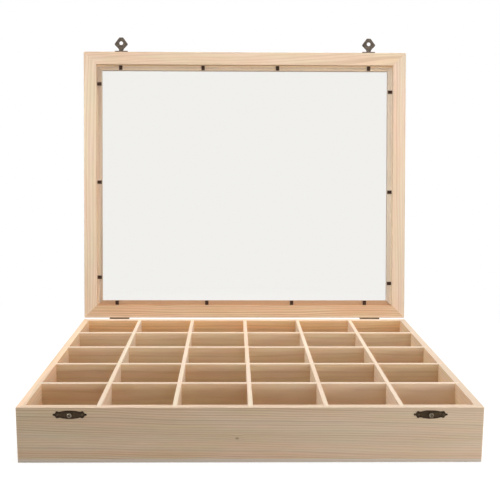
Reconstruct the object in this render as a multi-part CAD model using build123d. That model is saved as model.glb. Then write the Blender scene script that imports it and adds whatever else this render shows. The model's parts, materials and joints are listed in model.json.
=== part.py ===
from build123d import *
from math import cos, radians, sin
import os

# Wooden compartment box for mineral specimens, with a glazed lid on two stop hinges and two hasps.
# Millimetres, +Z up. The origin is the middle of the case's underside, +X to the right and +Y to
# the hinge side. The lid and its fittings are drawn closed and then swung open about the pins.

# Case
box_width = 400.0
box_depth = 330.0
wall_height = 46.5
wall_t = 7.0
base_t = 3.0
corner_round = 1.0
edge_round = 0.5

# Grid of compartments
columns = 6
rows = 5
divider_t = 4.0
divider_round = 0.3
groove_depth = 4.0
joint_fit = 0.1

# Lid
lid_t = 15.0
seam_gap = 0.3
rail_w = 15.5
lip_w = 5.5
lip_t = 6.0
glass_t = 2.0
glass_play = 1.0
glass_edge = 0.3
lid_open = 98.0

# Glazing tabs, with their places as shares of the rebate's length, from the left or the front
tab_w = 4.2
tab_t = 0.5
tab_driven = 4.0
tab_point = 1.5
tab_turn_up = 0.9
tab_places_front = (0.080, 0.358, 0.610, 0.919)
tab_places_back = (0.066, 0.371, 0.660, 0.909)
tab_places_left = (0.077, 0.486, 0.884)
tab_places_right = (0.107, 0.525, 0.909)

# Hinges, with their centres set in from the box's ends
hinge_inset = 43.5
leaf_length = 24.0
leaf_height = 8.5
leaf_t = 0.7
leaf_corner = 1.2
barrel_r = 1.1
barrel_standoff = 0.1
knuckles = 5
knuckle_gap = 0.15
pin_r = 0.45
running_fit = 0.05
knuckle_clearance = 0.3
wing_t = 0.8
wing_near = 2.2
wing_far = 5.6
stop_gap = 0.3
screw_end = 5.6
screw_edge = 3.1

# Ornamental plate, shared by the hasps on the lid and the catches on the case
plate_t = 0.5
plate_w = 29.0
plate_h = 7.4
plate_bulge = 24.0
plate_waist = 5.4
ear_end = 3.8
ear_r = 2.3
lobe_r = 1.4
lobe_spread = 3.4
tip_r = 0.9
tip_shoulder = 0.6

# Hasps
hasp_inset = 46.0
hasp_axis_up = 3.6
hasp_plate_up = 4.6
hasp_barrel = 16.0
hasp_barrel_r = 0.8
hasp_pin_r = 0.35
tongue_t = 0.5
tongue_clearance = 0.3
tongue_neck = 5.4
tongue_neck_length = 2.6
tongue_width = 17.2
tongue_end = 4.8
wide_above_eye = 1.5
end_below_eye = 7.0
neck_round = 5.0
wide_round = 1.6
end_round = 1.1
eye_fit = 0.3

# Catches, with the stud's centre below the case's top edge
catch_drop = 6.3
stud_neck_r = 1.6
stud_head_r = 2.0
stud_beyond_tongue = 1.85
stud_flare = 0.6
stud_head_h = 0.9
stud_bevel = 0.3
stud_dish_r = 1.3
stud_dish = 0.6

# Screws and nails
tip_cover = 1.5
screw_r = 0.7
screw_head_r = 1.5
screw_head_h = 0.7
screw_slot = 0.35
nail_r = 0.5
nail_head_r = 1.2
nail_head_h = 0.55

# Levels and places worked out from the sizes above
case_top = base_t + wall_height
lid_bottom = case_top + seam_gap
lip_level = lid_bottom + lid_t - lip_t
glass_level = lip_level - glass_t
inner_width = box_width - 2 * wall_t
inner_depth = box_depth - 2 * wall_t
cell_width = (inner_width - (columns - 1) * divider_t) / columns
cell_depth = (inner_depth - (rows - 1) * divider_t) / rows
divider_xs = [k * (cell_width + divider_t) - (inner_width + divider_t) / 2 for k in range(1, columns)]
divider_ys = [k * (cell_depth + divider_t) - (inner_depth + divider_t) / 2 for k in range(1, rows)]
rebate_width = box_width - 2 * rail_w
rebate_length = box_depth - 2 * rail_w
frame_member = rail_w + lip_w
pin_out = barrel_r + barrel_standoff
pin_y = box_depth / 2 + pin_out
pin_z = case_top + seam_gap / 2
hinge_axis = Axis((0, pin_y, pin_z), (1, 0, 0))
hinge_x = box_width / 2 - hinge_inset
screw_x = leaf_length / 2 - screw_end
screw_drop = leaf_height - screw_edge
hasp_x = box_width / 2 - hasp_inset
hasp_axis_out = max(plate_t + tongue_clearance + tongue_t / 2, hasp_barrel_r + knuckle_clearance)
hasp_y = -box_depth / 2 - hasp_axis_out
hasp_z = lid_bottom + hasp_axis_up
catch_z = case_top - catch_drop
eye_drop = hasp_z - catch_z
eye_r = stud_head_r + eye_fit
stud_height = hasp_axis_out + tongue_t / 2 + stud_beyond_tongue
ear_x = plate_w / 2 - ear_end
driven_length = wall_t - tip_cover
SIDES = {"left": -1, "right": 1}
ON_BASE = (Align.CENTER, Align.CENTER, Align.MIN)
OUTWARD = (0, -1, 0)


def save(name, shape):
    export_step(shape, "parts/" + name + ".step")


def group(shapes):
    return Compound([solid for shape in shapes for solid in shape.solids()])


def block(x0, x1, y0, y1, z0, z1):
    middle = Pos((x0 + x1) / 2, (y0 + y1) / 2, (z0 + z1) / 2)
    return middle * Box(x1 - x0, y1 - y0, z1 - z0)


def rod(x0, x1, radius):
    """A cylinder along X on the axis y = z = 0."""
    return Pos((x0 + x1) / 2, 0, 0) * Rot(0, 90, 0) * Cylinder(radius, x1 - x0)


def swing_open(shape):
    return shape.rotate(hinge_axis, -lid_open)


# Frames of four mitred members

def eased_block(bottom, height, ease_bottom, ease_top):
    """A block of the box's whole plan, with rounded corners and eased edges."""
    body = Pos(0, 0, bottom) * Box(box_width, box_depth, height, align=ON_BASE)
    body = fillet(body.edges().filter_by(Axis.Z), corner_round)
    if ease_top:
        body = fillet(body.faces().sort_by(Axis.Z)[-1].edges(), edge_round)
    if ease_bottom:
        body = fillet(body.faces().sort_by(Axis.Z)[0].edges(), edge_round)
    return body


def mitred_member(side, width, bottom, height):
    """The prism of one side of a frame, cut at 45 degrees at both ends."""
    half_x = box_width / 2
    half_y = box_depth / 2
    near_x = half_x - width
    near_y = half_y - width
    corners = {
        "front": [(-half_x, -half_y), (half_x, -half_y), (near_x, -near_y), (-near_x, -near_y)],
        "back": [(half_x, half_y), (-half_x, half_y), (-near_x, near_y), (near_x, near_y)],
        "left": [(-half_x, half_y), (-half_x, -half_y), (-near_x, -near_y), (-near_x, near_y)],
        "right": [(half_x, -half_y), (half_x, half_y), (near_x, near_y), (near_x, -near_y)],
    }
    face = make_face(Polyline(*corners[side], close=True))
    return Pos(0, 0, bottom) * extrude(face, amount=height, dir=(0, 0, 1))


# Fasteners, drawn along +Z with the wood's surface at z = 0

def headed_pin(shank, seat, head_r, head_h):
    """A pointed shank under a domed head that sits at the height of seat."""
    ball_r = (head_r ** 2 + head_h ** 2) / (2 * head_h)
    ball = Pos(0, 0, seat + head_h - ball_r) * Sphere(ball_r)
    head = ball & Pos(0, 0, seat) * Cylinder(2 * head_r, 2 * head_h, align=ON_BASE)
    point = Pos(0, 0, -driven_length) * Cone(0, shank, 2 * shank, align=ON_BASE)
    straight = driven_length - 2 * shank + seat
    return head + point + Pos(0, 0, seat - straight) * Cylinder(shank, straight, align=ON_BASE)


def screw():
    body = headed_pin(screw_r, leaf_t, screw_head_r, screw_head_h)
    top = leaf_t + screw_head_h
    half = screw_slot / 2
    return body - block(-screw_head_r, screw_head_r, -half, half, top - screw_head_h / 2, top)


def nail():
    return headed_pin(nail_r, plate_t, nail_head_r, nail_head_h)


def stud():
    """The catch's stud: a driven shank, a neck on the plate and a flared head with a dished end."""
    outline = Polyline(
        (0, -driven_length),
        (nail_r, 2 * nail_r - driven_length),
        (nail_r, plate_t),
        (stud_neck_r, plate_t),
        (stud_neck_r, stud_height - stud_head_h - stud_flare),
        (stud_head_r, stud_height - stud_head_h),
        (stud_head_r, stud_height - stud_bevel),
        (stud_head_r - stud_bevel, stud_height),
        (stud_dish_r, stud_height),
        (stud_dish_r - stud_bevel, stud_height - stud_dish),
        (0, stud_height - stud_dish),
        close=True,
    )
    return revolve(make_face(Plane.XZ * outline), Axis.Z)


# Hinges, drawn closed about the pin's axis, with the wood at y = -pin_out and the lid's side up

def stations(owner):
    """The X ranges of the knuckles of one leaf, the outer ones being the case's."""
    pitch = leaf_length / knuckles
    starts = range(0 if owner == "case" else 1, knuckles, 2)
    return [(k * pitch - leaf_length / 2, (k + 1) * pitch - leaf_length / 2) for k in starts]


def stop_wing(x0, x1):
    """A tab bent out of the leaf, whose edge meets the other leaf's when the lid stands open."""
    half_angle = radians((180 - lid_open) / 2)
    along = Vector(sin(half_angle), -cos(half_angle))
    inset = Vector(-cos(half_angle), -sin(half_angle)) * (stop_gap / 2)
    face_y = leaf_t - pin_out
    near = along * wing_near + inset
    far = along * wing_far + inset
    points = [(face_y, near.Y), (near.X, near.Y), (far.X, far.Y), (face_y, far.Y - wing_t)]
    face = make_face(Plane.YZ * Polyline(*points, close=True))
    return Pos(x0, 0, 0) * extrude(face, amount=x1 - x0, dir=(1, 0, 0))


def hinge_leaf(owner):
    half = leaf_length / 2
    leaf = block(-half, half, -pin_out, leaf_t - pin_out, -leaf_height, 0)
    lower = leaf.edges().filter_by(Axis.Y).group_by(Axis.Z)[0]
    leaf = fillet(lower, leaf_corner)
    other = "lid" if owner == "case" else "case"
    reach = barrel_r + knuckle_clearance
    for x0, x1 in stations(other):
        leaf -= block(x0 - knuckle_gap, x1 + knuckle_gap, -pin_out, 0, -reach, 0)
    for x0, x1 in stations(owner):
        start = x0 if x0 <= -half else x0 + knuckle_gap
        end = x1 if x1 >= half else x1 - knuckle_gap
        leaf += rod(start, end, barrel_r)
    bore = pin_r if owner == "case" else pin_r + running_fit
    leaf -= rod(-half, half, bore)
    for x0, x1 in ((-half, wing_t - half), (half - wing_t, half)):
        leaf += stop_wing(x0, x1)
    for x in (-screw_x, screw_x):
        leaf -= Pos(x, 0, -screw_drop) * Rot(90, 0, 0) * Cylinder(screw_r, 4 * pin_out)
    if owner == "lid":
        leaf = leaf.mirror(Plane.XY)
    return leaf


def hinge_screws(owner):
    z = -screw_drop if owner == "case" else screw_drop
    return [Pos(x, -pin_out, z) * Rot(-90, 0, 0) * screw() for x in (-screw_x, screw_x)]


# Plates, hasps and catches, drawn about the hasp's axis with the wood at y = +hasp_axis_out

def plate_outline():
    """A bulged plate with a three-lobed ear at each end, centred on its own middle."""
    outline = Ellipse(plate_bulge / 2, plate_h / 2) + Rectangle(2 * ear_x, plate_waist)
    for side in (-1, 1):
        x = side * ear_x
        tip = side * (plate_w / 2 - tip_r)
        taper = Polyline((x, ear_r), (tip, tip_shoulder), (tip, -tip_shoulder), (x, -ear_r), close=True)
        outline += Pos(x, 0) * Circle(ear_r) + make_face(taper) + Pos(tip, 0) * Circle(tip_r)
        outline += Pos(x, lobe_spread / 2) * Circle(lobe_r) + Pos(x, -lobe_spread / 2) * Circle(lobe_r)
    return outline


def nail_holes(z):
    reach = 4 * plate_t
    holes = [Pos(side * ear_x, 0, z) * Rot(90, 0, 0) * Cylinder(nail_r, reach) for side in (-1, 1)]
    return holes[0] + holes[1]


def hasp_plate():
    sheet = extrude(Plane.XZ * plate_outline(), amount=plate_t, dir=OUTWARD)
    sheet = Pos(0, hasp_axis_out, hasp_plate_up) * sheet
    face_y = hasp_axis_out - plate_t
    half = hasp_barrel / 2
    sheet += block(-half, half, face_y, hasp_axis_out, 0, hasp_plate_up)
    gap = tongue_neck / 2 + knuckle_gap
    reach = hasp_barrel_r + knuckle_clearance
    sheet -= block(-gap, gap, 0, hasp_axis_out, -reach, reach)
    for x0, x1 in ((-half, -gap), (gap, half)):
        sheet += rod(x0, x1, hasp_barrel_r) + block(x0, x1, 0, hasp_axis_out, 0, hasp_barrel_r)
    sheet -= rod(-half, half, hasp_pin_r)
    return sheet - Pos(0, hasp_axis_out, 0) * nail_holes(hasp_plate_up)


def tongue_outline():
    """The tongue seen from the front as it hangs, with the axis at the top and the eye below it."""
    neck = tongue_neck / 2
    wide = (tongue_width / 2, -eye_drop + wide_above_eye)
    end = (tongue_end / 2, -eye_drop - end_below_eye)
    right = [(neck, 0), (neck, -tongue_neck_length), wide, end]
    left = [(-x, z) for x, z in reversed(right)]
    outline = make_face(Polyline(*right, *left, close=True))
    rounds = ((-tongue_neck_length, neck_round), (wide[1], wide_round), (end[1], end_round))
    for level, radius in rounds:
        outline = fillet([p for p in outline.vertices() if abs(p.Y - level) < 0.01], radius)
    return outline - Pos(0, -eye_drop) * Circle(eye_r)


def hasp_tongue():
    """The tongue as it hangs over the catch, turned afterwards to stand out from its plate."""
    blade = Pos(0, tongue_t / 2, 0) * extrude(Plane.XZ * tongue_outline(), amount=tongue_t, dir=OUTWARD)
    neck = tongue_neck / 2
    hanging = blade + rod(-neck, neck, hasp_barrel_r) - rod(-neck, neck, hasp_pin_r + running_fit)
    return hanging.rotate(Axis.X, -90)


def catch_plate():
    sheet = extrude(Plane.XZ * plate_outline(), amount=plate_t, dir=OUTWARD)
    stud_hole = Rot(90, 0, 0) * Cylinder(nail_r, 4 * plate_t)
    return sheet - stud_hole - nail_holes(0)


# The four places of the paired fittings

def on_hinge(side, shape):
    return Pos(SIDES[side] * hinge_x, pin_y, pin_z) * shape


def on_hasp(side, shape):
    return Pos(SIDES[side] * hasp_x, hasp_y, hasp_z) * shape


def on_catch(side, shape):
    return Pos(SIDES[side] * hasp_x, -box_depth / 2, catch_z) * shape


def facing_front(x, z, shape):
    """Turns a fastener drawn along +Z to point out of the front, and sets it at x and z."""
    return Pos(x, 0, z) * Rot(90, 0, 0) * shape


hinge_case_screws = group(on_hinge(side, s) for side in SIDES for s in hinge_screws("case"))
hinge_lid_screws = group(on_hinge(side, s) for side in SIDES for s in hinge_screws("lid"))
hasp_plate_nails = group(
    on_hasp(side, Pos(0, hasp_axis_out, 0) * facing_front(ear * ear_x, hasp_plate_up, nail()))
    for side in SIDES for ear in (-1, 1))
catch_plate_nails = group(
    on_catch(side, facing_front(ear * ear_x, 0, nail()))
    for side in SIDES for ear in (-1, 1))
catch_studs = {side: on_catch(side, facing_front(0, 0, stud())) for side in SIDES}


# Case

def case_wall(side):
    wall = mitred_member(side, wall_t, base_t, wall_height) & eased_block(base_t, wall_height, False, True)
    half = (divider_t + joint_fit) / 2
    groove_x = inner_width / 2 + groove_depth
    groove_y = inner_depth / 2 + groove_depth
    if side in ("front", "back"):
        for x in divider_xs:
            wall -= block(x - half, x + half, -groove_y, groove_y, base_t, case_top)
    else:
        for y in divider_ys:
            wall -= block(-groove_x, groove_x, y - half, y + half, base_t, case_top)
    return wall


def divider(length, places, notch_top):
    """A divider along Y, notched half its height where the others cross it."""
    half_l = length / 2
    half_t = divider_t / 2
    half_n = (divider_t + joint_fit) / 2
    board = block(-half_t, half_t, -half_l, half_l, base_t, case_top)
    board = fillet(board.faces().sort_by(Axis.Z)[-1].edges().filter_by(Axis.Y), divider_round)
    middle = base_t + wall_height / 2
    low, high = (middle - joint_fit / 2, case_top) if notch_top else (base_t, middle + joint_fit / 2)
    for y in places:
        board -= block(-half_t, half_t, y - half_n, y + half_n, low, high)
    return board


def build_case():
    save("base_panel", eased_block(0, base_t, True, False))
    front = case_wall("front") - catch_plate_nails - group(catch_studs.values())
    save("front_wall", front)
    save("back_wall", case_wall("back") - hinge_case_screws)
    save("left_wall", case_wall("left"))
    save("right_wall", case_wall("right"))
    let_in = 2 * groove_depth - joint_fit
    for number, x in enumerate(divider_xs, 1):
        board = divider(inner_depth + let_in, divider_ys, False)
        save("depth_divider_%d" % number, Pos(x, 0, 0) * board)
    for number, y in enumerate(divider_ys, 1):
        board = divider(inner_width + let_in, [-x for x in divider_xs], True)
        save("cross_divider_%d" % number, Pos(0, y, 0) * Rot(0, 0, 90) * board)


# Lid

def glazing_tab():
    """A flat point driven along +X under the glass, its free end turned up, with x = 0 at the rail."""
    half = tab_w / 2
    outline = make_face(Polyline((lip_w, -half), (lip_w, half), (tab_point - tab_driven, half),
                                 (-tab_driven, 0), (tab_point - tab_driven, -half), close=True))
    flat = Pos(0, 0, glass_level - tab_t) * extrude(outline, amount=tab_t)
    return flat + block(lip_w - tab_t, lip_w, -half, half, glass_level - tab_t - tab_turn_up, glass_level)


def tabs(side):
    half_x = rebate_width / 2
    half_y = rebate_length / 2
    if side in ("front", "back"):
        places = tab_places_front if side == "front" else tab_places_back
        y, turn = (-half_y, 90) if side == "front" else (half_y, -90)
        spots = [(share * rebate_width - half_x, y, turn) for share in places]
    else:
        places = tab_places_left if side == "left" else tab_places_right
        x, turn = (-half_x, 0) if side == "left" else (half_x, 180)
        spots = [(x, share * rebate_length - half_y, turn) for share in places]
    return group(Pos(x, y, 0) * Rot(0, 0, turn) * glazing_tab() for x, y, turn in spots)


def build_lid():
    lid_block = eased_block(lid_bottom, lid_t, True, True)
    half_x = rebate_width / 2
    half_y = rebate_length / 2
    rebate = block(-half_x, half_x, -half_y, half_y, lid_bottom, lip_level)
    fixings = {"front": hasp_plate_nails, "back": hinge_lid_screws}
    for side in ("front", "back", "left", "right"):
        points = tabs(side)
        rail = (mitred_member(side, frame_member, lid_bottom, lid_t) & lid_block) - rebate - points
        if side in fixings:
            rail -= fixings[side]
        save("lid_" + side + "_rail", swing_open(rail))
        save("glazing_tabs_" + side, swing_open(points))
    pane_x = half_x - glass_play
    pane_y = half_y - glass_play
    pane = block(-pane_x, pane_x, -pane_y, pane_y, glass_level, lip_level)
    pane = chamfer(pane.edges().filter_by(Plane.XY), glass_edge)
    save("lid_glass", swing_open(pane))


# Fittings

def build_fittings():
    half = leaf_length / 2
    half_barrel = hasp_barrel / 2
    for side in SIDES:
        save("hinge_case_leaf_" + side, on_hinge(side, hinge_leaf("case")))
        save("hinge_lid_leaf_" + side, swing_open(on_hinge(side, hinge_leaf("lid"))))
        save("hinge_pin_" + side, on_hinge(side, rod(-half, half, pin_r)))
        save("hasp_plate_" + side, swing_open(on_hasp(side, hasp_plate())))
        save("hasp_tongue_" + side, swing_open(on_hasp(side, hasp_tongue())))
        save("hasp_pin_" + side, swing_open(on_hasp(side, rod(-half_barrel, half_barrel, hasp_pin_r))))
        save("catch_plate_" + side, on_catch(side, catch_plate()))
        save("catch_stud_" + side, catch_studs[side])
    save("hinge_case_screws", hinge_case_screws)
    save("hinge_lid_screws", swing_open(hinge_lid_screws))
    save("hasp_plate_nails", swing_open(hasp_plate_nails))
    save("catch_plate_nails", catch_plate_nails)


os.makedirs("parts", exist_ok=True)
build_case()
build_lid()
build_fittings()
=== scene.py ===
import json
from dataclasses import dataclass, replace
from math import pi, radians

import bmesh
import bpy
from mathutils import Matrix, Vector

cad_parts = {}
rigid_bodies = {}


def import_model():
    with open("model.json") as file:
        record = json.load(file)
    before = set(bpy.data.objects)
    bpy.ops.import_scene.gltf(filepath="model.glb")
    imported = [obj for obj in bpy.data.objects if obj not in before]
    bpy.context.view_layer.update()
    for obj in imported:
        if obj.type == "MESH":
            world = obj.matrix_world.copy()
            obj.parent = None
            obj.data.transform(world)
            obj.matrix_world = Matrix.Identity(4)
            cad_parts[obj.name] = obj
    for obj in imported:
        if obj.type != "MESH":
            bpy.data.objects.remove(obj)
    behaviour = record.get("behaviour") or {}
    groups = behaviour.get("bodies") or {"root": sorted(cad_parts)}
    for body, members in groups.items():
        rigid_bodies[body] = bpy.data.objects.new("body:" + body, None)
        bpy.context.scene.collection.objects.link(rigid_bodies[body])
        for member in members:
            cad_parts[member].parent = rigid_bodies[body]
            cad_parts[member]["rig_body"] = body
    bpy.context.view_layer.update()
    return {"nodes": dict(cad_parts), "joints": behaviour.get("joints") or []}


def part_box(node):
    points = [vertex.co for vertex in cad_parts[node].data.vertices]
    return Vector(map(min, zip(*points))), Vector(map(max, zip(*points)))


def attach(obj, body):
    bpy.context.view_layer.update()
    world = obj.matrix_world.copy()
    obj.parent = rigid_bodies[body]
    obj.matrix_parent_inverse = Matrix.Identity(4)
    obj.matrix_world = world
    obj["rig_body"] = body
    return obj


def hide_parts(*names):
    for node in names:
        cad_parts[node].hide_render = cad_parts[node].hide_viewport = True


# Mineral specimen box: a bare pine case with a grid of compartments, a glazed lid that stands open,
# and small antique bronze fittings. Metres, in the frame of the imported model.

for leftover in list(bpy.data.objects):
    bpy.data.objects.remove(leftover)
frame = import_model()
nodes = frame["nodes"]
MM = 0.001

# The photograph's camera, found from its straight edges, for a picture of 500 by 500 pixels
picture_px = 500
focal_px = 819.7
lens_axis_px = (241.9, 264.9)
camera_place = Vector((-0.01641, -0.83387, 0.28321))
camera_down = radians(9.392)
camera_to_right = radians(0.724)
camera_roll = radians(0.195)
sensor_mm = 36

# The lid's swing, from the hinge joint
hinge = next(joint for joint in frame["joints"] if joint["name"] == "lid_hinge")
lid_turn = Matrix.Rotation(radians(-hinge["range_deg"][1]), 3, "X")


def srgb(red, green, blue):
    """A colour given as it looks on a screen, 0 to 255, as the shader wants it."""
    def linear(value):
        share = value / 255
        return share / 12.92 if share <= 0.04045 else ((share + 0.055) / 1.055) ** 2.4
    return (linear(red), linear(green), linear(blue), 1.0)


white = (1.0, 1.0, 1.0, 1.0)


def centre(node):
    low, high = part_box(node)
    return (low + high) / 2


# Node trees

class Net:
    """A node tree built one node a call. A value is a number, a tuple or another node's output."""

    def __init__(self, tree):
        self.tree = tree
        tree.nodes.clear()

    def add(self, kind, feeds=None, **settings):
        node = self.tree.nodes.new("ShaderNode" + kind)
        for key, value in settings.items():
            setattr(node, key, value)
        for name, value in (feeds or {}).items():
            self.feed(node.inputs[name], value)
        return node

    def feed(self, socket, value):
        if isinstance(value, bpy.types.NodeSocket):
            self.tree.links.new(value, socket)
        else:
            socket.default_value = value

    def math(self, operation, a, b=0.0):
        return self.add("Math", {0: a, 1: b}, operation=operation).outputs[0]

    def vector(self, operation, a, b=(0, 0, 0)):
        node = self.add("VectorMath", {0: a, 1: b}, operation=operation)
        return node.outputs["Value" if operation in ("DOT_PRODUCT", "LENGTH") else "Vector"]

    def join(self, x, y, z):
        return self.add("CombineXYZ", {"X": x, "Y": y, "Z": z}).outputs[0]

    def scale(self, vector, factor):
        return self.vector("MULTIPLY", vector, self.join(factor, factor, factor))

    def place_mm(self):
        """Where a point of the surface is at rest, in millimetres."""
        return self.vector("MULTIPLY", self.add("TexCoord").outputs["Object"], (1 / MM, 1 / MM, 1 / MM))

    def ease(self, value, low, high, to_low=0.0, to_high=1.0):
        """The value taken smoothly from low..high to to_low..to_high, and held beyond."""
        feeds = {"Value": value, "From Min": low, "From Max": high, "To Min": to_low, "To Max": to_high}
        return self.add("MapRange", feeds, interpolation_type="SMOOTHSTEP").outputs["Result"]

    def noise(self, vector, scale=1.0, detail=2.0, roughness=0.5, output="Fac"):
        feeds = {"Vector": vector, "Scale": scale, "Detail": detail, "Roughness": roughness}
        return self.add("TexNoise", feeds).outputs[output]

    def noise_1d(self, value, scale):
        feeds = {"W": value, "Scale": scale, "Detail": 2.0}
        return self.add("TexNoise", feeds, noise_dimensions="1D").outputs["Fac"]

    def blend(self, share, a, b):
        node = self.add("Mix", data_type="RGBA")
        self.feed(node.inputs[0], share)
        self.feed(node.inputs[6], a)
        self.feed(node.inputs[7], b)
        return node.outputs[2]

    def mix_shaders(self, share, a, b):
        node = self.add("MixShader", {0: share})
        self.feed(node.inputs[1], a)
        self.feed(node.inputs[2], b)
        return node.outputs[0]

    def bump(self, height, depth, strength=1.0, over=None):
        """Relief of a depth in millimetres, over another relief if one is given."""
        feeds = {"Height": height, "Distance": depth * MM, "Strength": strength}
        if over is not None:
            feeds["Normal"] = over
        return self.add("Bump", feeds).outputs[0]

    def finish(self, shader):
        self.tree.links.new(shader, self.add("OutputMaterial").inputs["Surface"])


def new_material(name):
    material = bpy.data.materials.new(name)
    material.use_nodes = True
    return material, Net(material.node_tree)


def dress(piece, material):
    """Gives every slot of a piece one material."""
    if not piece.material_slots:
        piece.data.materials.append(material)
    for slot in piece.material_slots:
        slot.material = material


# Pine: how one board differs from another

# The pale tone of painted light, laid on lit top edges and on the right ends of boards.
painted_light_tone = srgb(253, 233, 212)


@dataclass
class Timber:
    """How one board was sawn and how it is coloured. Lengths are in millimetres.

    The early wood has the tones pale and warm, and late is the dark edge of a year's ring, which shows
    by the contrast. Ring is a ring's width, and heart the log's centre, seen from the board's middle,
    across and through the board. With lean the grain slopes along the board, and wave is how far it
    strays. Banding is how much the tone changes over many rings. A knot is its place along and across
    the board and its half height.

    On the top edge a tone is painted to a share: a paler tone is painted light, a darker one painted shade.
    The lip of the rebated step, on the side of rebate_side, takes a painted colour, painted light where it
    is paler and painted shade where it is darker, and painted light makes the board paler to the right, by
    a share. Each belt is a low edge and a high edge across the board, and the tint of the wood between them."""
    pale: tuple
    warm: tuple
    late: tuple
    ring: float = 2.6
    heart: tuple = (-260.0, 60.0)
    lean: float = 0.0
    wave: float = 5.0
    contrast: float = 0.95
    banding: float = 1.0
    knots: tuple = ()
    top_light_and_shade: float = 0.0
    top_light_and_shade_tone: tuple = painted_light_tone
    rebate_light_and_shade: tuple = ()
    rebate_side: int = 1
    right_painted_light: float = 0.0
    belts: tuple = ()


# Pine: what all boards share

@dataclass
class Layer:
    """Noise drawn out along a board, which changes so fast along and across it, per millimetre, and
    fades in between the values low and high."""
    along: float
    across: float
    low: float
    high: float
    detail: float = 2.0
    roughness: float = 0.5


fibres = Layer(0.05, 2.6, 0.25, 0.75, 3.0, 0.6)
streaks = Layer(0.018, 0.42, 0.35, 0.75)
patches = Layer(0.016, 0.09, 0.36, 0.64)
slow_tone = Layer(0.009, 0.05, 0.38, 0.62)
resin_ducts = Layer(0.16, 4.2, 0.70, 0.78, 1.0, 0.4)
streak_share, duct_share = 0.30, 0.35
fibre_dark, fibre_pale = 0.94, 1.05
rosy_cast = (1.01, 0.98, 0.975, 1.0)
green_cast = (0.975, 1.015, 0.96, 1.0)

# Tone that changes over many rings: how fast, between which noise values, and how far
band_scale, band_low, band_high = 0.075, 0.36, 0.64
band_darker, band_paler = 0.07, 0.03
band_share = 0.45

# Late wood within a year's ring, as shares of the ring, and the faintest year against the darkest
late_start, late_full, late_end = 0.30, 0.86, 0.88
faintest_year = 0.45

# How the log's rings stray from circles, and how their widths differ
stray_stretch, stray_scale = 0.16, 0.028
width_scale, width_swing = 0.11, 1.3

# Relief and gloss of the sanded surface
late_relief, fibre_relief, relief_depth = 0.2, 0.7, 0.06
wood_roughness, late_polish, wood_specular = 0.66, 0.12, 0.28

# Where painted light and shade change a board's edges. The painted top edge is measured down from the
# board's top and the rebated lip from its middle, in millimetres. The painted light on the right starts
# to the left of the middle, by a share of the half length.
top_light_start, top_light_full = 0.9, 0.2
rebate_wall, rebate_floor, rebate_mouth = (4.7, 5.1), (1.8, 2.4), (-7.4, -6.6)
rebate_share = 0.85
right_painted_light_start = 0.4

# Belts: the slope of their edges, how far streaks fray them, and how soft they are
belt_slope, belt_fray, belt_softness = 0.007, 3.0, 1.6

# Knots, as multiples of their half height, and how much of their brown shows
knot_brown = srgb(110, 78, 50)
knot_length = 1.7
knot_core, knot_rim = 0.55, 1.35
knot_reach, knot_push = 7.0, 1.6
knot_share = 0.5


def board_place(net, node, axes):
    """Where a point is from its board's middle, in millimetres, along each of the axes."""
    offset = net.vector("SUBTRACT", net.add("TexCoord").outputs["Object"], tuple(centre(node)))
    return [net.vector("DOT_PRODUCT", offset, tuple(axis / MM)) for axis in axes]


def knot_field(net, from_middle, across, knots):
    """How far the rings are pushed aside by knots, and how dark each knot is."""
    push, dark = 0.0, 0.0
    for knot_along, knot_across, size in knots:
        x = net.math("DIVIDE", net.math("SUBTRACT", from_middle, knot_along), knot_length * size)
        y = net.math("DIVIDE", net.math("SUBTRACT", across, knot_across), size)
        far = net.vector("LENGTH", net.join(x, y, 0.0))
        push = net.math("ADD", push, net.ease(far, 0.0, knot_reach, knot_push * size, 0.0))
        dark = net.math("ADD", dark, net.ease(far, knot_core, knot_rim, 1.0, 0.0))
    return push, dark


def growth_rings(net, along, across, through, push, timber):
    """How far a point is from the log's heart, and how much late wood it has."""
    stretched = net.join(net.math("MULTIPLY", along, stray_stretch), across, through)
    stray = net.vector("SUBTRACT", net.noise(stretched, stray_scale, output="Color"), (0.5, 0.5, 0.5))
    stray = net.vector("MULTIPLY", stray, (0.0, 2 * timber.wave, 2 * timber.wave))
    lean = net.math("MULTIPLY", along, timber.lean)
    spoke = net.vector("ADD", net.join(0.0, net.math("ADD", across, lean), through), stray)
    spoke = net.vector("SUBTRACT", spoke, (0.0, *timber.heart))
    radius = net.math("ADD", net.vector("LENGTH", spoke), push)

    uneven = net.math("MULTIPLY", net.noise_1d(radius, width_scale), width_swing)
    count = net.math("ADD", net.math("DIVIDE", radius, timber.ring), uneven)
    share = net.math("FRACT", count)
    year = net.math("FLOOR", count)
    strength = net.add("TexWhiteNoise", {"W": year}, noise_dimensions="1D").outputs["Value"]
    rise = net.ease(share, late_start, late_full)
    fall = net.ease(share, late_end, 1.0, 1.0, 0.0)
    late = net.math("MULTIPLY", rise, fall)
    return radius, net.math("MULTIPLY", late, net.ease(strength, 0.0, 1.0, faintest_year, 1.0))


def tint_belts(net, colour, from_middle, across, streak, belts):
    """Tints the belts, whose edges slope down to the right and are frayed by the streaks."""
    tilted = net.math("ADD", across, net.math("MULTIPLY", from_middle, belt_slope))
    ragged = net.math("ADD", tilted, net.math("MULTIPLY", streak, belt_fray))
    for low_edge, high_edge, tint in belts:
        above = net.ease(ragged, low_edge, low_edge + belt_softness)
        below = net.ease(ragged, high_edge, high_edge + belt_softness, 1.0, 0.0)
        colour = net.vector("MULTIPLY", colour, net.blend(net.math("MULTIPLY", above, below), white, tint))
    return colour


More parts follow.
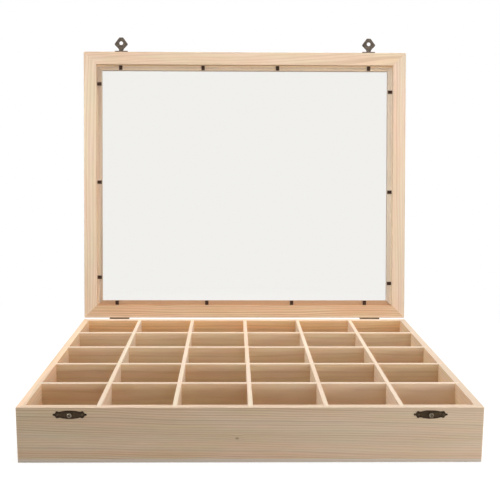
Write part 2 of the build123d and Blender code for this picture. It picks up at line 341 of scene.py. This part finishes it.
def tone_edges(net, colour, node, from_middle, across, through, timber):
    """Paints light and shade on the top edge and the rebated lip, and light on the right end, as the timber
    says.
    """
    low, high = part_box(node)
    # Painted light on the top edge, which the lamps light most; a darker top tone is painted shade there.
    if timber.top_light_and_shade:
        top = (high.z - low.z) / 2 / MM
        edge = net.ease(across, top - top_light_start, top - top_light_full, 0.0, timber.top_light_and_shade)
        colour = net.blend(edge, colour, timber.top_light_and_shade_tone)
    # Painted light on the lip behind the glass where its colour is paler, painted shade where it is darker.
    if timber.rebate_light_and_shade:
        inner = net.ease(net.math("MULTIPLY", across, timber.rebate_side), *rebate_wall)
        shallow = net.ease(through, *rebate_floor, rebate_share, 0.0)
        below_face = net.ease(through, *rebate_mouth)
        cut = net.math("MULTIPLY", net.math("MULTIPLY", inner, shallow), below_face)
        colour = net.blend(cut, colour, timber.rebate_light_and_shade)
    # Painted light: the board grows paler towards its right end, as if lit from the right.
    if timber.right_painted_light:
        reach = (high.x - low.x) / 2 / MM
        right = net.ease(from_middle, -right_painted_light_start * reach, reach, 0.0, timber.right_painted_light)
        colour = net.blend(right, colour, painted_light_tone)
    return colour


def pine(name, node, axes, timber, shift):
    """Bare pine: growth rings of a log, cut by the board's faces, with fibres and slow changes of tone.
    The axes are the board's directions along the grain, across its face and through it. The shift is
    where in the log the board lies, so that no two boards are alike."""
    material, net = new_material(name)
    from_middle, across, through = board_place(net, node, axes)
    along = net.math("ADD", from_middle, shift)
    push, dark = knot_field(net, from_middle, across, timber.knots)
    radius, late = growth_rings(net, along, across, through, push, timber)

    def drawn(layer):
        place = net.join(net.math("MULTIPLY", along, layer.along), net.math("MULTIPLY", across, layer.across),
                         net.math("MULTIPLY", through, layer.across))
        return net.noise(place, 1.0, layer.detail, layer.roughness)

    def fade(value, layer, to_low=0.0, to_high=1.0):
        return net.ease(value, layer.low, layer.high, to_low, to_high)

    fibre = drawn(fibres)
    streak = drawn(streaks)
    band = net.noise_1d(radius, band_scale)
    tone = net.math("ADD", net.math("MULTIPLY", drawn(slow_tone), 1.0 - band_share),
                    net.math("MULTIPLY", band, band_share))

    colour = net.blend(fade(tone, slow_tone), timber.pale, timber.warm)
    cast = net.blend(fade(drawn(patches), patches), rosy_cast, green_cast)
    colour = net.vector("MULTIPLY", colour, cast)
    darker, paler = 1.0 - band_darker * timber.banding, 1.0 + band_paler * timber.banding
    colour = net.scale(colour, net.ease(band, band_low, band_high, darker, paler))
    colour = net.blend(net.math("MULTIPLY", late, timber.contrast), colour, timber.late)
    colour = net.blend(fade(streak, streaks, 0.0, streak_share), colour, timber.warm)
    colour = net.blend(fade(drawn(resin_ducts), resin_ducts, 0.0, duct_share), colour, timber.late)
    if timber.belts:
        colour = tint_belts(net, colour, from_middle, across, streak, timber.belts)
    colour = net.scale(colour, fade(fibre, fibres, fibre_dark, fibre_pale))
    if timber.knots:
        colour = net.blend(net.math("MINIMUM", dark, knot_share), colour, knot_brown)
    colour = tone_edges(net, colour, node, from_middle, across, through, timber)

    height = net.math("ADD", net.math("MULTIPLY", late, late_relief),
                      net.math("MULTIPLY", fibre, fibre_relief))
    dull = net.math("SUBTRACT", wood_roughness, net.math("MULTIPLY", late, late_polish))
    feeds = {"Base Color": colour, "Roughness": dull, "Normal": net.bump(height, relief_depth, 0.8),
             "Specular IOR Level": wood_specular}
    net.finish(net.add("BsdfPrincipled", feeds).outputs[0])
    return material


# The boards, by node

case_pine = Timber(srgb(241, 220, 196), srgb(237, 209, 180), srgb(198, 160, 123))
# The dividers' tone is darker than the case's: painted shade for the cross dividers' faces deep in the cells.
divider_pine = Timber(srgb(229, 205, 175), srgb(223, 192, 158), srgb(194, 156, 117), 3.2, contrast=0.35,
                      banding=0.3)
lid_pine = Timber(srgb(238, 217, 193), srgb(234, 206, 178), srgb(206, 172, 140), 3.4, contrast=0.75,
                  banding=0.7)

boards = {
    # Front wall: painted light on its top edge and towards its right end.
    "front_wall": ("x", replace(case_pine, ring=2.1, lean=0.02, contrast=0.75, top_light_and_shade=0.25, right_painted_light=0.15,
                                pale=srgb(239, 217, 191), warm=srgb(235, 206, 175),
                                knots=((-11.5, -4.4, 0.85),),
                                belts=((-21.4, -15.6, (1.02, 0.945, 0.9, 1.0)),
                                       (21.0, 30.0, (0.95, 0.91, 0.89, 1.0))))),
    # Back wall: a darker, more orange tone, painted shade for its inside face, with painted light on its top
    # edge.
    "back_wall": ("x", replace(case_pine, ring=3.6, heart=(-80.0, 60.0), contrast=0.6, top_light_and_shade=0.9,
                               pale=srgb(241, 204, 161), warm=srgb(233, 187, 139))),
    # Side walls: paler tones, painted light for their lit tops, with painted light on the left wall's top
    # edge; the right wall's top edge takes a darker tone, painted shade.
    "left_wall": ("y", replace(case_pine, ring=3.1, heart=(-150.0, 40.0), contrast=0.45, top_light_and_shade=0.15,
                               pale=srgb(252, 222, 194), warm=srgb(248, 211, 176))),
    "right_wall": ("y", replace(case_pine, ring=3.4, heart=(60.0, 30.0), contrast=0.3, top_light_and_shade=0.7,
                                top_light_and_shade_tone=srgb(226, 202, 180),
                                pale=srgb(252, 231, 204), warm=srgb(249, 221, 188))),
    # Lid rails: painted light on the lips of the front and right rails, painted shade on the lip of the back
    # rail.
    "lid_front_rail": ("x", replace(lid_pine, ring=4.2, heart=(9.0, -30.0), lean=0.045, wave=7.0,
                                    pale=srgb(234, 212, 188), warm=srgb(230, 201, 173),
                                    rebate_light_and_shade=srgb(255, 230, 196))),
    "lid_back_rail": ("x", replace(lid_pine, ring=2.8, heart=(-150.0, 40.0), contrast=1.0, banding=0.4,
                                   pale=srgb(224, 197, 169), warm=srgb(219, 182, 147),
                                   late=srgb(184, 142, 108), rebate_light_and_shade=srgb(206, 158, 115),
                                   rebate_side=-1)),
    "lid_left_rail": ("y", replace(lid_pine, ring=3.6, heart=(-120.0, 40.0), lean=0.01)),
    "lid_right_rail": ("y", replace(lid_pine, ring=3.2, heart=(140.0, -30.0), lean=-0.012,
                                    pale=srgb(234, 212, 191), warm=srgb(230, 201, 176),
                                    rebate_light_and_shade=srgb(255, 240, 217), rebate_side=-1)),
}
divider_hearts = ((-16.0, 34.0), (48.0, -45.0), (-30.0, -60.0), (22.0, 50.0))
# Depth dividers: a paler tone than the other dividers, painted light for their lit side faces.
for number in range(1, 6):
    timber = replace(divider_pine, heart=divider_hearts[number % 4], ring=2.6 + 0.25 * number,
                     contrast=0.2, pale=srgb(250, 230, 209), warm=srgb(246, 220, 194))
    boards["depth_divider_%d" % number] = ("y", timber)
# Cross dividers: painted light on their top edges, and on the first one painted light towards its right end.
for number in range(1, 5):
    timber = replace(divider_pine, heart=divider_hearts[(number + 2) % 4], ring=3.6 - 0.25 * number,
                     top_light_and_shade=0.6, right_painted_light=0.5 if number == 1 else 0.0)
    boards["cross_divider_%d" % number] = ("x", timber)


def dress_wood():
    """Gives each board its own pine. The lid stands open, so its boards' axes are turned with it."""
    x, y, z = Matrix.Identity(3)
    lid_y, lid_z = lid_turn @ y, lid_turn @ z
    axes = {"case": {"x": (x, z, y), "y": (y, z, x)},
            "lid": {"x": (x, lid_y, lid_z), "y": (lid_y, x, lid_z)}}
    log_step = 700.0
    for count, (node, (way, timber)) in enumerate(boards.items()):
        body = "lid" if node.startswith("lid") else "case"
        dress(nodes[node], pine("pine_" + node, node, axes[body][way], timber, count * log_step))


# Plywood

def plywood():
    """The base: a pale veneer above and below, and three plies that show at its edge."""
    material, net = new_material("ply_base")
    low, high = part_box("base_panel")
    thick = (high.z - low.z) / MM
    place = net.place_mm()
    along, across, up = net.add("SeparateXYZ", {"Vector": place}).outputs
    slow, fast = 0.02, 0.5
    face = net.join(net.math("MULTIPLY", along, slow), net.math("MULTIPLY", across, fast), 0.0)
    figure = net.noise(face, 1.0, 3.0, 0.55)
    veneer = net.blend(net.ease(figure, 0.3, 0.75), srgb(232, 212, 186), srgb(212, 184, 152))

    wave_scale, crumb_scale = 0.06, 1.6
    waviness, mean_wave, softness = 0.25, 0.12, 0.12
    layer = net.math("ADD", up, net.math("MULTIPLY", net.noise(place, wave_scale), waviness))
    from_middle = net.math("ABSOLUTE", net.math("SUBTRACT", layer, thick / 2 + mean_wave))
    core = net.ease(from_middle, thick / 6 - softness, thick / 6 + softness, 1.0, 0.0)
    crumb = net.noise(place, crumb_scale, 3.0, 0.6)
    ply = net.blend(core, srgb(237, 223, 207), srgb(225, 207, 189))
    ply = net.blend(net.ease(crumb, 0.35, 0.8, 0.0, 0.3), ply, srgb(200, 178, 158))

    upright = net.vector("DOT_PRODUCT", net.add("TexCoord").outputs["Normal"], (0, 0, 1))
    colour = net.blend(net.ease(net.math("ABSOLUTE", upright), 0.4, 0.7), ply, veneer)
    feeds = {"Base Color": colour, "Roughness": 0.72, "Normal": net.bump(crumb, 0.05, 0.7)}
    net.finish(net.add("BsdfPrincipled", feeds).outputs[0])
    return material


# Metal

@dataclass
class Swell:
    """An oval that the stamping raised, or sank where the rise is below 0, and a tint laid over it: on the
    stud's sunken dish a darker tint, painted shade that leaves its rim as a painted highlight ring. The half
    sizes and the middle are in millimetres, and share says how much of the tint shows."""
    middle: tuple
    half: tuple
    rise: float
    tint: tuple
    share: float


def bronze(name, deep, rubbed, wear, roughness, swell=None):
    """Dark antique bronze: a blotched brown patina, rubbed brighter in places, over slightly uneven sheet."""
    blotch_scale, speck_scale = 0.85, 3.5
    smoother, rougher = 0.08, 0.12
    sheet_relief, speck_relief = 0.05, 0.35
    swell_top = 0.72

    material, net = new_material(name)
    place = net.place_mm()
    blotch = net.noise(place, blotch_scale, 4.0, 0.6)
    speck = net.noise(place, speck_scale, 3.0, 0.6)
    rub = net.math("MULTIPLY", net.ease(blotch, 0.34, 0.72), net.ease(speck, 0.30, 0.70, 0.45, 1.0))
    colour = net.blend(net.math("MULTIPLY", rub, wear), deep, rubbed)
    dull = net.ease(speck, 0.25, 0.75, roughness - smoother, roughness + rougher)
    height = net.math("ADD", blotch, net.math("MULTIPLY", speck, speck_relief))
    relief = net.bump(height, sheet_relief, 0.6)
    if swell:
        far = net.vector("DIVIDE", net.vector("SUBTRACT", place, swell.middle), swell.half)
        inside = net.ease(net.vector("LENGTH", far), swell_top, 1.0, 1.0, 0.0)
        relief = net.bump(net.math("MULTIPLY", inside, swell.rise), 1.0, over=relief)
        colour = net.blend(net.math("MULTIPLY", inside, swell.share), colour, swell.tint)
    feeds = {"Base Color": colour, "Roughness": dull, "Normal": relief, "Metallic": 0.9}
    net.finish(net.add("BsdfPrincipled", feeds).outputs[0])
    return material


# Stamped fittings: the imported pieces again, with their sharp edges rounded

def finished(node, edge):
    """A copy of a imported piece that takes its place, with edges rounded by so many millimetres."""
    weld, flat, sharp = 0.002 * MM, radians(1), radians(35)
    source = nodes[node]
    mesh = source.data.copy()
    mesh.name = node + "_mesh"
    form = bmesh.new()
    form.from_mesh(mesh)
    bmesh.ops.remove_doubles(form, verts=form.verts, dist=weld)
    bmesh.ops.dissolve_limit(form, angle_limit=flat, verts=form.verts, edges=form.edges)
    form.to_mesh(mesh)
    form.free()
    mesh.normals_split_custom_set_from_vertices([(0, 0, 0)] * len(mesh.vertices))
    piece = bpy.data.objects.new(node + "_finished", mesh)
    bpy.context.scene.collection.objects.link(piece)
    bevel = piece.modifiers.new("round_edges", "BEVEL")
    bevel.width = edge * MM
    bevel.segments = 2
    bevel.limit_method = "ANGLE"
    bevel.angle_limit = sharp
    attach(piece, source["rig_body"])
    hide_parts(node)
    return piece


def dress_fittings():
    patina = bronze("antique_bronze", srgb(52, 40, 28), srgb(120, 104, 84), 0.7, 0.42)
    # The tongues' paler bronze is painted light: the one bronze finish made lighter where the standing
    # tongues catch the light.
    tongue_patina_painted_light = bronze("antique_bronze_tongue_painted_light", srgb(80, 69, 60), srgb(148, 136, 123), 0.8, 0.4)
    hinge_patina = bronze("antique_bronze_hinge", srgb(92, 76, 58), srgb(150, 131, 105), 0.7, 0.42)
    steel = bronze("dark_steel", srgb(62, 40, 30), srgb(118, 102, 86), 0.5, 0.45)
    endless = 50.0
    plate_half, stud_half = (11.0, endless, 3.1), (1.15, endless, 1.15)
    plate_edge, hasp_edge, hinge_edge = 0.16, 0.14, 0.1

    for side in ("left", "right"):
        plate = "catch_plate_" + side
        stud = "catch_stud_" + side
        dome = Swell(tuple(centre(plate) / MM), plate_half, 0.5, srgb(98, 81, 61), 0.2)
        # The dish's darker tint is painted shade in the stud's middle, which leaves its rim as a painted
        # highlight ring.
        dish = Swell(tuple(centre(stud) / MM), stud_half, -0.12, srgb(70, 60, 46), 0.75)
        plate_patina = bronze("antique_plate_" + side, srgb(44, 33, 23), srgb(98, 81, 61), 0.45, 0.5, dome)
        # The stud's bright colours are partly wear on its rim and partly a painted highlight.
        stud_patina_and_highlight = bronze("antique_stud_" + side, srgb(104, 93, 77), srgb(192, 181, 163), 0.9, 0.26, dish)
        dress(finished(plate, plate_edge), plate_patina)
        dress(finished("hasp_plate_" + side, hasp_edge), patina)
        dress(finished("hasp_tongue_" + side, hasp_edge), tongue_patina_painted_light)
        dress(finished("hinge_case_leaf_" + side, hinge_edge), hinge_patina)
        dress(finished("hinge_lid_leaf_" + side, hinge_edge), hinge_patina)
        dress(nodes[stud], stud_patina_and_highlight)
        dress(nodes["hinge_pin_" + side], hinge_patina)
        dress(nodes["hasp_pin_" + side], patina)
    for node in ("hinge_case_screws", "hinge_lid_screws", "hasp_plate_nails", "catch_plate_nails"):
        dress(nodes[node], patina)
    for side in ("front", "back", "left", "right"):
        dress(nodes["glazing_tabs_" + side], steel)


# Glass

def window_glass():
    """Clear glass with a faint grey tint. Light from the lamps passes it, so what it covers is lit."""
    material, net = new_material("clear_glass")
    wave = net.bump(net.noise(net.place_mm(), 0.012, 1.0), 0.2, 0.15)
    glass = net.add("BsdfPrincipled", {"Base Color": srgb(249, 249, 250), "Roughness": 0.0, "Normal": wave,
                                       "Transmission Weight": 1.0, "IOR": 1.45})
    clear = net.add("BsdfTransparent", {"Color": white})
    path = net.add("LightPath").outputs
    open_way = net.math("MAXIMUM", path["Is Shadow Ray"], path["Is Diffuse Ray"])
    net.finish(net.mix_shaders(open_way, glass.outputs[0], clear.outputs[0]))
    return material


# Light and surroundings

behind_glass = srgb(246, 245, 241)


def white_seen(net, shader, make_seen):
    """Shows white to the camera and in gloss, a pale grey through glass, and the shader to all else."""
    path = net.add("LightPath").outputs
    direct = net.math("MAXIMUM", path["Is Camera Ray"], path["Is Glossy Ray"])
    direct = net.math("MAXIMUM", direct, path["Is Transmission Ray"])
    seen = make_seen(net.blend(path["Is Transmission Ray"], white, behind_glass))
    return net.mix_shaders(direct, shader, seen)


def make_world(level):
    world = bpy.data.worlds.new("studio")
    bpy.context.scene.world = world
    world.use_nodes = True
    net = Net(world.node_tree)
    soft = net.add("Background", {"Color": white, "Strength": level})
    seen = white_seen(net, soft.outputs[0], lambda tone: net.add("Background", {"Color": tone}).outputs[0])
    net.tree.links.new(seen, net.add("OutputWorld").inputs["Surface"])


def make_floor(half_size, glow, shade):
    """A pale floor that looks white, and near the box keeps its faint shadow."""
    drop, shadow_full, shadow_gone, bounce = 0.0002, 0.32, 0.62, 0.12
    bpy.ops.mesh.primitive_plane_add(size=2 * half_size, location=(0, 0, -drop))
    floor = bpy.context.object
    floor.name = "floor"
    material, net = new_material("pale_floor")
    far = net.ease(net.vector("LENGTH", net.add("TexCoord").outputs["Object"]), shadow_full, shadow_gone)

    def seen(tone):
        faint = net.math("MULTIPLY", net.math("SUBTRACT", 1.0, far), shade)
        strength = net.math("ADD", glow, net.math("MULTIPLY", far, 1.0 - glow))
        both = net.add("AddShader")
        net.feed(both.inputs[0], net.add("BsdfDiffuse", {"Color": net.join(faint, faint, faint)}).outputs[0])
        net.feed(both.inputs[1], net.add("Emission", {"Color": tone, "Strength": strength}).outputs[0])
        return both.outputs[0]

    plain = net.add("BsdfDiffuse", {"Color": (bounce, bounce, bounce, 1.0)})
    net.finish(white_seen(net, plain.outputs[0], seen))
    dress(floor, material)


def make_lamp(name, place, aim, width, length, power, glare=True, spread=pi):
    """A softbox. One without glare isn't mirrored by the glass, and a narrow spread is a grid on it."""
    data = bpy.data.lights.new(name, "AREA")
    data.spread = spread
    data.shape = "RECTANGLE"
    data.size = width
    data.size_y = length
    data.energy = power
    lamp = bpy.data.objects.new(name, data)
    bpy.context.scene.collection.objects.link(lamp)
    lamp.visible_camera = False
    lamp.visible_glossy = lamp.visible_transmission = glare
    lamp.location = place
    lamp.rotation_euler = (Vector(aim) - Vector(place)).to_track_quat("-Z", "Y").to_euler()


def make_camera():
    data = bpy.data.cameras.new("camera")
    data.sensor_width = sensor_mm
    data.lens = focal_px / picture_px * sensor_mm
    data.shift_x = 0.5 - lens_axis_px[0] / picture_px
    data.shift_y = lens_axis_px[1] / picture_px - 0.5
    camera = bpy.data.objects.new("camera", data)
    bpy.context.scene.collection.objects.link(camera)
    turn = Matrix.Rotation(-camera_to_right, 4, "Z") @ Matrix.Rotation(pi / 2 - camera_down, 4, "X")
    camera.matrix_world = Matrix.Translation(camera_place) @ turn @ Matrix.Rotation(camera_roll, 4, "Z")
    bpy.context.scene.camera = camera


make_camera()
bpy.context.scene.view_settings.view_transform = "Standard"
make_world(level=0.08)
make_floor(half_size=6.0, glow=0.88, shade=0.22)
make_lamp("top_softbox", (0.3, 0.19, 1.6), (0.0, 0.0, 0.0), 1.4, 0.45, 17.0)
make_lamp("side_softbox_right", (1.3, -0.1, 0.6), (0.0, 0.0, 0.1), 0.6, 0.6, 2.4)
make_lamp("side_softbox_left", (-1.3, -0.1, 0.6), (0.0, 0.0, 0.1), 0.6, 0.6, 7.5)
make_lamp("back_softbox", (0.0, 1.2, 1.2), (0.0, 0.0, 0.0), 1.4, 0.6, 5.0)
make_lamp("right_fill", (0.75, -0.5, 0.1), (0.2, -0.16, 0.03), 0.3, 0.2, 1.9)
make_lamp("front_softbox", (0.55, -1.7, 0.4), (0.0, 0.0, 0.2), 0.6, 0.5, 4.0, glare=False)
make_lamp("low_softbox", (-0.1, -1.6, 0.15), (0.0, 0.0, 0.15), 0.6, 0.15, 4.3, glare=False)
make_lamp("lid_fill", (0.0, -0.5, 0.52), (0.0, 0.2, 0.28), 0.9, 0.15, 0.5, glare=False, spread=radians(60))

dress_wood()
dress(nodes["base_panel"], plywood())
dress(nodes["lid_glass"], window_glass())
dress_fittings()

bpy.context.view_layer.update()
